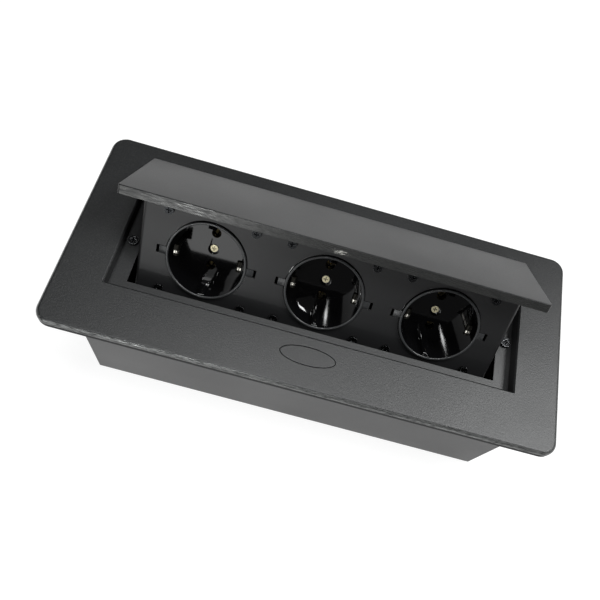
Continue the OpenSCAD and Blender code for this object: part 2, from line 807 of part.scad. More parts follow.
module socket_panel() {
    face_x = cheek_x - panel_bend_r;
    color(steel_color) opened() difference() {
        union() {
            span([-face_x, panel_y, panel_z], [face_x, panel_y + sheet_t, lid_z]);
            span([-face_x, panel_y, lid_z - sheet_t], [face_x, panel_y + panel_flange, lid_z]);
            span([-panel_lip_x, panel_y - panel_lip, panel_z],
                 [panel_lip_x, panel_y + sheet_t, panel_z + sheet_t]);
            for (m = [0, 1]) mirror([m, 0, 0]) {
                panel_bend();
                cheek();
            }
        }
        for (i = [1 : 3]) at_socket(i) {
            translate([0, 0, -1]) cylinder(r = rim_r + rim_clear, h = sheet_t + 2);
            at_panel_screws() translate([0, 0, -1]) cylinder(r = m2_r + 0.1, h = sheet_t + 2);
            translate([-rim_r - tab_reach - tab_clear, -tab_h / 2 - tab_clear, -1])
                cube([2 * (rim_r + tab_reach + tab_clear), tab_h + 2 * tab_clear, sheet_t + 2]);
        }
        at_lid_screws() translate([0, 0, -2 * sheet_t]) cylinder(r = m3_r + 0.2, h = 3 * sheet_t);
        at_rivets() bar_x(cheek_x - 2 * sheet_t, cheek_x + 1, 0, 0, rivet_r);
    }
}

module lid_screws() {
    color(zinc_color) opened() at_lid_screws() translate([0, 0, -sheet_t]) mirror([0, 0, 1])
        pan_screw(m3_r, m3_head_r, m3_head_t, sheet_t + blind);
}

// Chamfer that keeps the rear of a socket clear of the plate as the unit turns
module rear_chamfer() {
    translate([0, -chamber_up, cover_w + cover_t]) rotate([45, 0, 0])
        cube([3 * chamber_x, cover_chamfer * sqrt(2), cover_chamfer * sqrt(2)], center = true);
}

module strap_slots(clear) {
    for (x = [-1, 1])
        translate([x * (strap_x - strap_t / 2), 0, 0])
            cube([strap_t + 2 * clear, strap_w + 2 * clear, 4 * chamber_w], center = true);
}

module socket_housing(i) {
    seat = sheet_t;
    color(plastic_color) opened() at_socket(i) difference() {
        union() {
            translate([0, 0, -rim_proud]) cylinder(r = rim_r, h = chamber_w + rim_proud);
            translate([-flange_x / 2, -flange_up / 2, seat]) cube([flange_x, flange_up, socket_flange_t]);
            for (x = [-1, 1])
                translate([x * (rim_r + (tab_reach - tab_slot) / 2 - 0.5), 0, (seat + 0.5) / 2])
                    cube([tab_reach - tab_slot + 1, tab_h, seat + 0.5], center = true);
            translate([-chamber_x, -chamber_up, chamber_w - 1])
                cube([2 * chamber_x, 2 * chamber_up, chamber_depth + 1]);
        }
        difference() {
            translate([0, 0, -rim_proud - 1]) cylinder(r = recess_r, h = recess_depth + 1);
            for (y = [-1, 1])
                translate([0, y * recess_r, floor_w / 2 + 1]) cube([4, 5, floor_w], center = true);
        }
        for (y = [-1, 1])
            translate([0, y * pin_pitch / 2, floor_w - 1]) cylinder(r = pin_r, h = socket_floor_t + 2);
        translate([0, 0, floor_w - 1]) cylinder(r = m3_r, h = socket_floor_t + 2);
        translate([0, 0, floor_w - 1]) cylinder(r = centre_head_r + centre_ring, h = centre_sink + 1);
        strap_slots(tab_clear);
        translate([-chamber_x + chamber_wall, -chamber_up + chamber_wall, chamber_w])
            cube([2 * (chamber_x - chamber_wall), 2 * (chamber_up - chamber_wall), chamber_depth + 1]);
        translate([-2 * chamber_x, -strap_w / 2 - tab_clear, chamber_w])
            cube([4 * chamber_x, strap_w + 2 * tab_clear, strap_t + tab_clear]);
        for (y = [-1, 1])
            translate([-2 * chamber_x, y * pin_pitch / 2 - bar_h / 2 - tab_clear, contact_end])
                cube([4 * chamber_x, bar_h + 2 * tab_clear, chamber_depth]);
        at_panel_screws() cylinder(r = m2_r, h = chamber_w);
        rear_chamfer();
    }
}

// Earth strap behind the recess floor with an upright spring at each side
module earth_clip(i) {
    upright_from = 3;
    nose_r = 1.4;
    color(brass_color) opened() at_socket(i) difference() {
        union() {
            translate([-strap_x, -strap_w / 2, chamber_w]) cube([2 * strap_x, strap_w, strap_t]);
            for (x = [-1, 1]) {
                translate([x * (strap_x - strap_t / 2) - strap_t / 2, -strap_w / 2, upright_from])
                    cube([strap_t, strap_w, chamber_w + strap_t - upright_from]);
                translate([x * (strap_x - nose_r), 0, upright_from + nose_r]) rotate([90, 0, 0])
                    cylinder(r = nose_r, h = strap_w, center = true);
            }
        }
        translate([0, 0, chamber_w - 1]) cylinder(r = m3_r, h = strap_t + 2);
    }
}

module pin_contacts(i) {
    contact_l = contact_end - contact_start;
    color(brass_color) opened() at_socket(i) for (y = [-1, 1])
        translate([0, y * pin_pitch / 2, contact_start]) difference() {
            cylinder(r = contact_r, h = contact_l);
            translate([0, 0, -1]) cylinder(r = contact_bore_r, h = contact_l + 2);
            translate([-contact_slit / 2, -contact_r - 1, -1])
                cube([contact_slit, 2 * contact_r + 2, contact_l - 1]);
        }
}

module rear_cover(i) {
    boss_r = 3;
    boss_z = chamber_w + strap_t;
    color(plastic_color) opened() at_socket(i) difference() {
        union() {
            translate([-chamber_x, -chamber_up, cover_w]) cube([2 * chamber_x, 2 * chamber_up, cover_t]);
            translate([0, 0, boss_z]) cylinder(r = boss_r, h = cover_w - boss_z + cover_t);
        }
        translate([0, 0, boss_z - 1]) cylinder(r = m3_r, h = cover_w);
        rear_chamfer();
    }
}

module centre_screws() {
    shank = cover_w + cover_t - centre_seat;
    color(brass_color) opened() for (i = [1 : 3]) at_socket(i)
        translate([0, 0, centre_seat]) mirror([0, 0, 1])
            pan_screw(m3_r, centre_head_r, centre_head_t, shank);
}

module panel_screws() {
    color(plastic_color) opened() for (i = [1 : 3]) at_socket(i) at_panel_screws() mirror([0, 0, 1])
        pan_screw(m2_r, m2_head_r, m2_head_t, sheet_t + socket_flange_t);
}

// Bus bar that joins the upper or the lower contacts of all sockets
module bus_bar(side) {
    reach = socket_pitch + contact_r + 2;
    color(brass_color) opened() at_socket(2)
        translate([-reach, side * pin_pitch / 2 - bar_h / 2, contact_end])
            cube([2 * reach, bar_h, bar_t]);
}

module live_bar() {
    bus_bar(-1);
}

module neutral_bar() {
    bus_bar(1);
}

module at_rivets() {
    for (a = [160, 200])
        translate([0, pivot_y + rivet_ring * cos(a), pivot_z + rivet_ring * sin(a)]) children();
}

// Toothed sector against the right cheek; a tooth points at the pinion when the unit is open
module gear_sector() {
    tooth_dir = damper_dir + open_angle;
    pitch_angle = 360 / sector_teeth;
    root_r = sector_r - gear_ded;
    // Closing turns the sector forward, so the teeth that follow lie behind the first one
    first = tooth_dir - (sector_to - 0.5) * pitch_angle;
    last = tooth_dir - (sector_from + 0.5) * pitch_angle;
    color("#e6e2d6") opened() difference() {
        translate([cheek_x, pivot_y, pivot_z]) rotate([90, 0, 90]) difference() {
            linear_extrude(sector_t) {
                circle(pivot_boss_r);
                translate([-rivet_pad[0], -rivet_pad[1] / 2]) square(rivet_pad);
                polygon(concat([[0, 0], polar(root_r, first - pitch_angle)],
                               [for (i = [sector_to : -1 : sector_from]) each
                                tooth(sector_teeth, tooth_dir - i * pitch_angle)],
                               [polar(root_r, last + pitch_angle)]));
            }
            translate([0, 0, -1]) cylinder(r = sector_hub_r, h = sector_t + 2);
        }
        at_rivets() bar_x(cheek_x - 1, cheek_x + sector_t + 1, 0, 0, rivet_r);
    }
}

module sector_rivets() {
    head_r = 2;
    head_t = 0.8;
    inner_x = cheek_x - sheet_t;
    outer_x = cheek_x + sector_t;
    color(zinc_color) opened() at_rivets() {
        bar_x(inner_x - head_t, outer_x + head_t, 0, 0, rivet_r);
        bar_x(inner_x - head_t, inner_x, 0, 0, head_r);
        bar_x(outer_x, outer_x + head_t, 0, 0, head_r);
    }
}

top_frame();
box_tray();
tray_ends();
ledge_frame();
end_bracket_left();
end_bracket_right();
bracket_screws();
frame_screws();
pivot_pin_left();
pivot_pin_right();
pin_clips();
torsion_spring_left();
torsion_spring_right();
stop_posts();
stop_sleeves();
damper_housing();
damper_screws();
damper_pinion();
button_guide();
guide_screws();
button_spring();
release_button();
push_rod();
catch_spring();
catch_screw();
gland_body();
gland_nut();
terminal_block();
terminal_screws();
lid();
socket_panel();
lid_screws();
socket_housing(1);  // socket_housing_1
socket_housing(2);  // socket_housing_2
socket_housing(3);  // socket_housing_3
earth_clip(1);  // earth_clip_1
earth_clip(2);  // earth_clip_2
earth_clip(3);  // earth_clip_3
pin_contacts(1);  // pin_contacts_1
pin_contacts(2);  // pin_contacts_2
pin_contacts(3);  // pin_contacts_3
rear_cover(1);  // rear_cover_1
rear_cover(2);  // rear_cover_2
rear_cover(3);  // rear_cover_3
centre_screws();
panel_screws();
live_bar();
neutral_bar();
gear_sector();
sector_rivets();
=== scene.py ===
"""Finishes, moulded and turned details and the studio for a flip-up desk power box."""

import json
import math

import bmesh
import bpy
from mathutils import Matrix, Vector


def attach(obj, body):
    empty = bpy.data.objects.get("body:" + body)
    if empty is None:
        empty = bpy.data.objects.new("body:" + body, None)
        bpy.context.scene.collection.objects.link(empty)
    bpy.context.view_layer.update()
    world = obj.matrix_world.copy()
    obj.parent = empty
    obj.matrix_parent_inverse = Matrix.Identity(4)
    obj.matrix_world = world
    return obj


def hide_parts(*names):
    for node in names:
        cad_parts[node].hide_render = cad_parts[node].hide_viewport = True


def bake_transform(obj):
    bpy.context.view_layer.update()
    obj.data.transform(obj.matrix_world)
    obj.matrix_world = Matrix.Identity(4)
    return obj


bl_info = {
    "name": "Desk Power Box",
    "version": (1, 0, 0),
    "blender": (4, 5, 0),
    "location": "View3D > Sidebar > Power Box",
    "description": "Dresses a flip-up desk power box with its finishes, sockets, screws and studio",
    "category": "Object",
}

MM = 0.001
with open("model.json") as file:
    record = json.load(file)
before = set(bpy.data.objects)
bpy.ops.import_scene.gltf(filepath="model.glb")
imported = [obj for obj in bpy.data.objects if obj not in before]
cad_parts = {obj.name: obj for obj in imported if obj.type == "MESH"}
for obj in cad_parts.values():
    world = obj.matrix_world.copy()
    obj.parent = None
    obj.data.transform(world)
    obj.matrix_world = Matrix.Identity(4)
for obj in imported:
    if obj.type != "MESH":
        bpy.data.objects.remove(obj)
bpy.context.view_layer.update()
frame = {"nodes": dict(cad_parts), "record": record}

# Directions and places on the open lid and socket panel
LID_TILT = math.radians(35.6)
PANEL_OUT = Vector((0.0, -math.cos(LID_TILT), math.sin(LID_TILT)))
PANEL_UP = Vector((0.0, math.sin(LID_TILT), math.cos(LID_TILT)))
PANEL_MIDDLE = Vector((0.0, -7.34, 67.7)) * MM
# Middle of the painted glint band on the earth springs
GLINT_POINT = PANEL_MIDDLE - PANEL_UP * (0.9 * MM)
SCUFF_MIDDLE = Vector((1.5, 1.3, 95.8)) * MM
SCUFF_REACH = (9 * MM, 2.4 * MM)
SCRATCH_SIZE = (2.4 * MM, 0.7 * MM)

# Heights over the panel's face from which a socket's rim is rounded, and its rim and tabs are satin
RIM_ROUNDED_FROM = 1.2 * MM
RIM_SATIN_FROM = 0.9 * MM
TAB_SATIN_FROM = -0.6 * MM

# Angles between faces: hard edges, edges of spring wire, and faces that count as one
HARD_ANGLE = math.radians(35)
WIRE_ANGLE = math.radians(75)
FLAT_ANGLE = math.radians(0.5)
WELD_REACH = 1e-6

# Cosines that sort faces: looking out, nearly flat on, level, and upright
LOOKS_OUT = 0.9
FLAT_ON = 0.95
LEVEL = 0.98
UPRIGHT = 0.15

# Studio, in metres
FLOOR_HALF = 3.0
FLOOR_DROP = 0.2 * MM
FLOOR_MOTTLE = 0.4
FLOOR_GLOW = 0.88
WORLD_LIGHT = 0.07
WHITE = (1.0, 1.0, 1.0, 1.0)
LAMP_TINT = (0.99, 1.0, 1.0)
CAMERA_PLACE = Vector((-17.44, -154.69, 329.83)) * MM
CAMERA_AZIMUTH = math.radians(-7.078)
CAMERA_ELEVATION = math.radians(65.468)
CAMERA_ROLL = math.radians(21.577)
CAMERA_LENS = 34.524
CAMERA_SHIFT = (-0.01139, 0.06795)


def linear(hex_colour):
    """sRGB hex value as a linear colour with alpha."""
    channels = [int(hex_colour[i : i + 2], 16) / 255 for i in (1, 3, 5)]
    return tuple(c / 12.92 if c <= 0.04045 else ((c + 0.055) / 1.055) ** 2.4 for c in channels) + (1.0,)


def colour(name, description, hex_colour):
    """Colour property whose default is an sRGB hex value."""
    return bpy.props.FloatVectorProperty(
        name=name, description=description, subtype="COLOR", size=4, min=0.0, max=1.0,
        default=linear(hex_colour),
    )


def length(name, description, size_mm):
    """Length property whose default is in millimetres."""
    return bpy.props.FloatProperty(
        name=name, description=description, subtype="DISTANCE", unit="LENGTH", min=0.0, default=size_mm * MM,
        precision=5,
    )


class PowerBoxColours(bpy.types.PropertyGroup):
    """Colours of the finishes"""

    coat: colour("Powder coat", "Black powder coat on the plate, lid and tray", "#161718")
    coat_light: colour("Coat, light grains", "Lighter grains of the powder coat", "#242525")
    panel: colour("Panel coat", "Duller coat on the socket panel", "#161617")
    # The lid front colours are rubbed coat, and their lighter streaks are painted highlight
    lid_front: colour("Lid front", "Rubbed coat on the lid's front edge", "#222323")
    lid_streak_highlight: colour("Lid front, streaks", "Brighter streaks on the lid's front edge", "#4e4e4d")
    # The plate edge colour is painted highlight: bright streaks on the plate's rounded edge
    plate_edge: colour("Plate edge", "Brighter streaks on the plate's rounded edge", "#8a8b8a")
    scuff: colour("Scuffs", "Pale scuffs where fingers lift the lid", "#c4c3bd")
    gloss: colour("Gloss plastic", "Polished black moulding of the sockets", "#070708")
    rim: colour("Rim", "Satin ring of the socket rims", "#2c2d2e")
    brass: colour("Brass", "Screws in the recess floors", "#fbf3d2")
    zinc: colour("Zinc plate", "Plated screws, pins and springs", "#8d9094")
    # Black oxide is also painted shade in the dark screws' cross recesses, and bare steel is a painted
    # highlight on their rims
    oxide_and_recess_shade: colour("Black oxide", "Recesses of the screws, and dark screws inside", "#17181a")
    black_head: colour("Blackened heads", "Flat tops of the screws", "#2b2c2d")
    screw_rim_highlight: colour("Bare steel", "Rims of the screws, rubbed by the driver", "#98999b")
    # The contact colour is also painted shade in the brass screws' cross recesses
    contact: colour("Contacts", "Plated contacts and bars", "#a39a80")
    # The earth springs' dark colour is painted shade, and their bright band colour is a painted glint
    painted_spring_shade: colour("Tarnish", "Tarnished nickel of the earth springs", "#2a2926")
    nickel: colour("Nickel", "Bright band that plugs rub on the earth springs", "#d2cfc6")
    rubber: colour("Rubber", "Stop sleeves", "#1b1b1b")
    nylon: colour("Nylon", "Black mouldings below the plate", "#1d1d1f")
    acetal: colour("Acetal", "Pale mouldings of the damper and the terminals", "#dcd8cb")
    floor: colour("Floor", "Floor without its glow", "#7c7c7c")


class PowerBoxSizes(bpy.types.PropertyGroup):
    """Sizes of the details"""

    coat_edge: length("Coated edge", "Rounding that powder coat leaves on a sheet edge", 0.25)
    end_edge: length("Tray end edge", "Rounding of the tray's end plates", 1.0)
    lid_edge: length("Lid edge", "Rounding of the lid's edges", 0.45)
    lid_rear: length("Lid rear curve", "Reach of the curve at the lid's rear edge", 4.0)
    coat_grain: length("Coat grain", "Width of a grain in the powder coat", 0.75)
    coat_drift: length("Coat drift", "Width of the patches in which the coat's gloss drifts", 70.0)
    plate_rim: length("Plate rim", "Width of the plate's rounded rim", 3.0)
    rim_edge: length("Rim edge", "Rounding of the socket rims", 0.55)
    clip_edge: length("Earth spring edge", "Rounding of the earth springs", 0.1)
    wire_edge: length("Spring edge", "Rounding of the springs under the button", 0.02)
    screw_edge: length("Screw edge", "Rounding of a screw head", 0.3)


def sizes():
    return bpy.context.scene.power_box_sizes


def colours():
    return bpy.context.scene.power_box_colours


# Materials


def add_node(tree, kind, inputs=None, **settings):
    """Adds a node with its settings, and fills or links its inputs."""
    node = tree.nodes.new(kind)
    for name, value in settings.items():
        setattr(node, name, value)
    for key, value in (inputs or {}).items():
        if isinstance(value, bpy.types.NodeSocket):
            tree.links.new(value, node.inputs[key])
        else:
            node.inputs[key].default_value = value
    return node


def new_material(name):
    """Empty material with its tree and its object coordinates in metres."""
    material = bpy.data.materials.new(name)
    material.use_nodes = True
    tree = material.node_tree
    tree.nodes.clear()
    place = add_node(tree, "ShaderNodeTexCoord").outputs["Object"]
    return material, tree, place


def close_material(tree, inputs):
    """Adds the surface's shader with its inputs, and the output."""
    shader = add_node(tree, "ShaderNodeBsdfPrincipled", inputs)
    add_node(tree, "ShaderNodeOutputMaterial", {"Surface": shader.outputs["BSDF"]})


def remap(tree, value, low, high, to_low=0.0, to_high=1.0):
    """Stretches a value from one range to another and keeps it inside."""
    ends = {"From Min": low, "From Max": high, "To Min": to_low, "To Max": to_high}
    return add_node(tree, "ShaderNodeMapRange", {"Value": value, **ends}).outputs["Result"]


def noise(tree, place, scale, detail=3.0, roughness=0.5):
    inputs = {"Vector": place, "Scale": scale, "Detail": detail, "Roughness": roughness}
    return add_node(tree, "ShaderNodeTexNoise", inputs).outputs["Fac"]


def mix(tree, share, first, second):
    """Mixes two colours."""
    inputs = {"Factor": share, "A": first, "B": second}
    return add_node(tree, "ShaderNodeMix", inputs, data_type="RGBA").outputs["Result"]


def bump(tree, height, strength, relief):
    inputs = {"Height": height, "Strength": strength, "Distance": relief}
    return add_node(tree, "ShaderNodeBump", inputs).outputs["Normal"]


def stretch(tree, place, along, across):
    """Coordinates in which a pattern is so long in x and so wide in y and z."""
    inputs = {"Vector": place, "Scale": (1 / along, 1 / across, 1 / across)}
    return add_node(tree, "ShaderNodeMapping", inputs).outputs["Vector"]


def vector_math(tree, operation, first, second=(0.0, 0.0, 0.0), result="Vector"):
    return add_node(tree, "ShaderNodeVectorMath", {0: first, 1: second}, operation=operation).outputs[result]


def plain_math(tree, operation, first, second=0.0):
    return add_node(tree, "ShaderNodeMath", {0: first, 1: second}, operation=operation).outputs["Value"]


def powder_coat(name, base, light, roughness, relief, ior=1.5):
    """Baked polyester powder on sheet metal: a dull sandy grain and broad soft highlights.

    The real grain is about 0.3 mm and is drawn coarser so that it shows.
    """
    material, tree, place = new_material(name)
    grains = noise(tree, place, 1 / sizes().coat_grain, roughness=0.65)
    drift = noise(tree, place, 1 / sizes().coat_drift)
    speckle = remap(tree, grains, 0.45, 0.7)
    close_material(tree, {
        "Base Color": mix(tree, speckle, base, light),
        "Roughness": remap(tree, drift, 0.3, 0.7, roughness - 0.04, roughness + 0.04),
        "Normal": bump(tree, grains, 0.6, relief),
        "IOR": ior,
    })
    return material


def edge_coat_with_painted_highlight(name, base, streak, scuff, roughness, width):
    """Coat along an edge: fine bright streaks, which are painted highlight on the plate's edge and rubbed
    coat lightened by painted highlight on the lid's front, and pale scratches where fingers lift the lid.
    """
    material, tree, place = new_material(name)
    streaks = noise(tree, stretch(tree, place, 10 * width, width), 1.0)
    # The lighter streak colour is painted highlight along the edge
    tint = mix(tree, remap(tree, streaks, 0.35, 0.7), base, streak)
    scratches = noise(tree, stretch(tree, place, *SCRATCH_SIZE), 1.0, 4.0, 0.7)
    along, across = SCUFF_REACH
    offset = vector_math(tree, "SUBTRACT", place, SCUFF_MIDDLE)
    spread = vector_math(tree, "MULTIPLY", offset, (1 / along, 1 / across, 1 / across))
    reach = vector_math(tree, "LENGTH", spread, result="Value")
    depth = plain_math(tree, "MULTIPLY", scratches, remap(tree, reach, 0.3, 1.0, 1.1, 0.4))
    close_material(tree, {
        "Base Color": mix(tree, remap(tree, depth, 0.5, 0.6), tint, scuff),
        "Metallic": remap(tree, streaks, 0.35, 0.7, 0.3, 0.7),
        "Roughness": remap(tree, streaks, 0.3, 0.7, roughness + 0.1, roughness - 0.1),
        "Normal": bump(tree, streaks, 0.35, 0.08 * MM),
    })
    return material


def moulded(name, base, roughness, grain, relief):
    """Injection-moulded plastic: even colour, with the tool's fine texture in its gloss."""
    material, tree, place = new_material(name)
    texture = noise(tree, place, 1 / grain)
    close_material(tree, {
        "Base Color": base,
        "Roughness": remap(tree, texture, 0.3, 0.7, roughness * 0.8, roughness * 1.25),
        "Normal": bump(tree, texture, 0.15, relief),
        "IOR": 1.55,
    })
    return material


def spring_with_painted_glint(name, painted_spring_shade, bright, band):
    """Nickel-plated spring strip, darkened as painted shade, with a bright band across its middle that is a
    painted glint.
    """
    material, tree, place = new_material(name)
    offset = vector_math(tree, "SUBTRACT", place, GLINT_POINT)
    up = vector_math(tree, "DOT_PRODUCT", offset, PANEL_UP, result="Value")
    # The bright band in the middle of the spring is a painted glint
    rubbed = remap(tree, plain_math(tree, "ABSOLUTE", up), 0.35 * band, 0.5 * band, 1.0, 0.0)
    close_material(tree, {
        "Base Color": mix(tree, rubbed, painted_spring_shade, bright),
        "Metallic": 1.0,
        "Roughness": remap(tree, rubbed, 0.0, 1.0, 0.5, 0.25),
    })
    return material


def plated(name, base, roughness, scratch):
    """Plated or bare metal: tinted reflections broken by fine handling marks."""
    material, tree, place = new_material(name)
    marks = noise(tree, place, 1 / scratch, 4.0)
    close_material(tree, {
        "Base Color": base,
        "Metallic": 1.0,
        "Roughness": remap(tree, marks, 0.3, 0.7, roughness * 0.7, roughness * 1.4),
    })
    return material


def make_materials():
    """Every finish of the box, by name."""
    c = colours()
    return {
        # Coats: the plate's grain shows most, the lid is smooth and the cut edges stay dull
        "coat": powder_coat("powder_coated_plate", c.coat, c.coat_light, 0.4, 0.16 * MM),
        "sheet": powder_coat("powder_coated_sheet", c.coat, c.coat_light, 0.38, 0.1 * MM),
        "lid": powder_coat("powder_coated_lid", c.coat, c.coat_light, 0.33, 0.06 * MM, 1.3),
        "panel": powder_coat("powder_coated_panel", c.panel, c.coat, 0.42, 0.06 * MM),
        "cut": powder_coat("powder_coated_cut_edge", c.coat, c.coat, 0.8, 0.1 * MM),
        # Edges with streaks along them: painted highlight on the plate's rounded edge, and rubbed coat
        # lightened by painted highlight on the lid's front
        "lid_front": edge_coat_with_painted_highlight("rubbed_lid_edge_and_painted_highlight", c.lid_front, c.lid_streak_highlight, c.scuff, 0.3, 0.45 * MM),
        "edge": edge_coat_with_painted_highlight("plate_edge_painted_highlight", c.coat, c.plate_edge, c.plate_edge, 0.34, 0.3 * MM),
        # Mouldings: black mirrors in the recesses, satin rims, and dull parts below the plate
        "gloss": moulded("polished_polycarbonate", c.gloss, 0.08, 0.8 * MM, 0.01 * MM),
        "rim": moulded("satin_polycarbonate", c.rim, 0.32, 0.5 * MM, 0.02 * MM),
        "nylon": moulded("moulded_nylon", c.nylon, 0.45, 0.4 * MM, 0.03 * MM),
        "acetal": moulded("moulded_acetal", c.acetal, 0.4, 0.4 * MM, 0.02 * MM),
        "rubber": moulded("nitrile_rubber", c.rubber, 0.75, 0.3 * MM, 0.04 * MM),
        # Metals: pale brass dots in the recesses, and dark screws; the screws' bright rims are painted
        # highlight, and their cross recesses are painted shade in the black oxide and contact colours
        "brass": plated("turned_brass", c.brass, 0.55, 0.3 * MM),
        "zinc": plated("zinc_plated_steel", c.zinc, 0.32, 0.3 * MM),
        "oxide": plated("oxide_steel_and_painted_recess_shade", c.oxide_and_recess_shade, 0.3, 0.3 * MM),
        "dark": plated("blackened_head", c.black_head, 0.34, 0.3 * MM),
        "bare": plated("screw_rim_painted_highlight", c.screw_rim_highlight, 0.5, 0.3 * MM),
        "contact": plated("plated_contact", c.contact, 0.3, 0.4 * MM),
        # Earth springs: nickel darkened as painted shade, with a painted glint band
        "spring": spring_with_painted_glint("nickel_spring_painted_glint", c.painted_spring_shade, c.nickel, 1.6 * MM),
    }


MATERIALS = {}


def dress(piece, *names):
    """Gives a piece its finishes, in slot order."""
    if not MATERIALS:
        MATERIALS.update(make_materials())
    piece.data.materials.clear()
    for name in names:
        piece.data.materials.append(MATERIALS[name])


# Mesh helpers


def height_over_panel(point):
    """How far a point stands out of the socket panel's face."""
    return (point - PANEL_MIDDLE).dot(PANEL_OUT)


def softened(node, name, edge, angle=HARD_ANGLE, chosen=None, rides=True):
    """Copy of a CAD node with its hard edges rounded, which stands for that node.

    Chosen picks the points whose edges are rounded. A piece that doesn't ride is not attached to its body.
    """
    work = bmesh.new()
    work.from_mesh(frame["nodes"][node].data)
    bmesh.ops.remove_doubles(work, verts=work.verts, dist=WELD_REACH)
    bmesh.ops.dissolve_limit(work, angle_limit=FLAT_ANGLE, verts=work.verts, edges=work.edges)
    hard = [e for e in work.edges if len(e.link_faces) == 2 and e.calc_face_angle() > angle]
    if chosen:
        hard = [e for e in hard if all(chosen(v.co) for v in e.verts)]
    bmesh.ops.bevel(
        work, geom=hard, offset=edge, offset_type="OFFSET", segments=2, profile=0.5, affect="EDGES",
        clamp_overlap=True,
    )
    mesh = bpy.data.meshes.new(name)
    work.to_mesh(mesh)
    work.free()
    for polygon in mesh.polygons:
        polygon.use_smooth = True
    mesh.set_sharp_from_angle(angle=angle)
    piece = bpy.data.objects.new(name, mesh)
    bpy.context.scene.collection.objects.link(piece)
    even = piece.modifiers.new("flat_faces", "WEIGHTED_NORMAL")
    even.weight = 100
    even.keep_sharp = True
    record = frame["record"]
    body = next(b for b, members in record["behaviour"]["bodies"].items() if node in members)
    if rides:
        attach(piece, body)
    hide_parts(node)
    return piece


def paint_faces(piece, index, belongs):
    """Gives the faces that pass a test the finish in another slot."""
    for polygon in piece.data.polygons:
        if belongs(polygon):
            polygon.material_index = index


def curve_rear(piece, reach):
    """Curves the rear edge of the lid's top down over a reach, in a quarter circle."""
    work = bmesh.new()
    work.from_mesh(piece.data)
    back = -PANEL_OUT
    rear = max(vertex.co.dot(back) for vertex in work.verts)
    top = max(vertex.co.dot(PANEL_UP) for vertex in work.verts)
    thick = top - min(vertex.co.dot(PANEL_UP) for vertex in work.verts)
    for share in (0.1, 0.25, 0.45, 0.7, 1.0):
        everything = work.verts[:] + work.edges[:] + work.faces[:]
        bmesh.ops.bisect_plane(work, geom=everything, plane_co=back * (rear - share * reach), plane_no=back)
    for vertex in work.verts:
        inside = max(0.0, reach - rear + vertex.co.dot(back))
        drop = reach - math.sqrt(max(0.0, reach * reach - inside * inside))
        height = 1 - (top - vertex.co.dot(PANEL_UP)) / thick
        vertex.co -= PANEL_UP * drop * height
    work.to_mesh(piece.data)
    work.free()


# Operators


class POWERBOX_OT_coat_sheets(bpy.types.Operator):
    """Powder-coats the plate, the tray, the ledge, the panel and the button"""

    bl_idname = "power_box.coat_sheets"
    bl_label = "Coated sheets"

    def execute(self, context):
        end_face = max(corner[0] for corner in frame["nodes"]["tray_ends"].bound_box)
        for node, name, finish in (
            ("release_button", "push_button", "coat"),
            ("box_tray", "folded_tray", "sheet"),
            ("ledge_frame", "ledge_sheet", "sheet"),
            ("socket_panel", "folded_panel", "panel"),
        ):
            dress(softened(node, name, sizes().coat_edge), finish)
        plate = softened("top_frame", "desk_plate", sizes().coat_edge)
        dress(plate, "coat", "edge", "cut")
        reach = [0.5 * extent - sizes().plate_rim for extent in plate.dimensions]
        # The plate's rounded rim gets bright streaks of painted highlight
        paint_faces(
            plate, 1,
            lambda face: UPRIGHT < face.normal.z < LEVEL
            and (abs(face.center.x) > reach[0] or abs(face.center.y) > reach[1]),
        )
        paint_faces(plate, 2, lambda face: abs(face.normal.z) < UPRIGHT)
        ends = softened(
            "tray_ends", "end_plates", sizes().end_edge,
            chosen=lambda point: abs(point.x) > end_face - 0.1 * MM,
        )
        dress(ends, "sheet")
        return {"FINISHED"}


class POWERBOX_OT_coat_lid(bpy.types.Operator):
    """Powder-coats the lid, with a rubbed front edge whose streaks are lightened by painted highlight"""

    bl_idname = "power_box.coat_lid"
    bl_label = "Lid"

    def execute(self, context):
        lid = softened("lid", "lid_slab", sizes().lid_edge)
        curve_rear(lid, sizes().lid_rear)
        dress(lid, "lid", "lid_front")
        # The front edge gets rubbed streaks, lightened by painted highlight
        paint_faces(lid, 1, lambda face: face.normal.dot(PANEL_OUT) > LOOKS_OUT)
        return {"FINISHED"}


class POWERBOX_OT_mould_sockets(bpy.types.Operator):
    """Polishes the socket recesses and gives their rims a satin ring"""

    bl_idname = "power_box.mould_sockets"
    bl_label = "Sockets"

    def execute(self, context):
        for number in (1, 2, 3):
            socket = softened(
                f"socket_housing_{number}", f"socket_{number}", sizes().rim_edge,
                chosen=lambda point: height_over_panel(point) > RIM_ROUNDED_FROM,
            )
            dress(socket, "gloss", "rim")
            paint_faces(socket, 1, lambda face: height_over_panel(face.center) > RIM_SATIN_FROM)
            paint_faces(
                socket, 1,
                lambda face: height_over_panel(face.center) > TAB_SATIN_FROM
                and face.normal.dot(PANEL_OUT) > LOOKS_OUT,
            )
            # Earth springs, dark with painted shade and a painted glint band
            dress(softened(f"earth_clip_{number}", f"earth_spring_{number}", sizes().clip_edge), "spring")
        return {"FINISHED"}


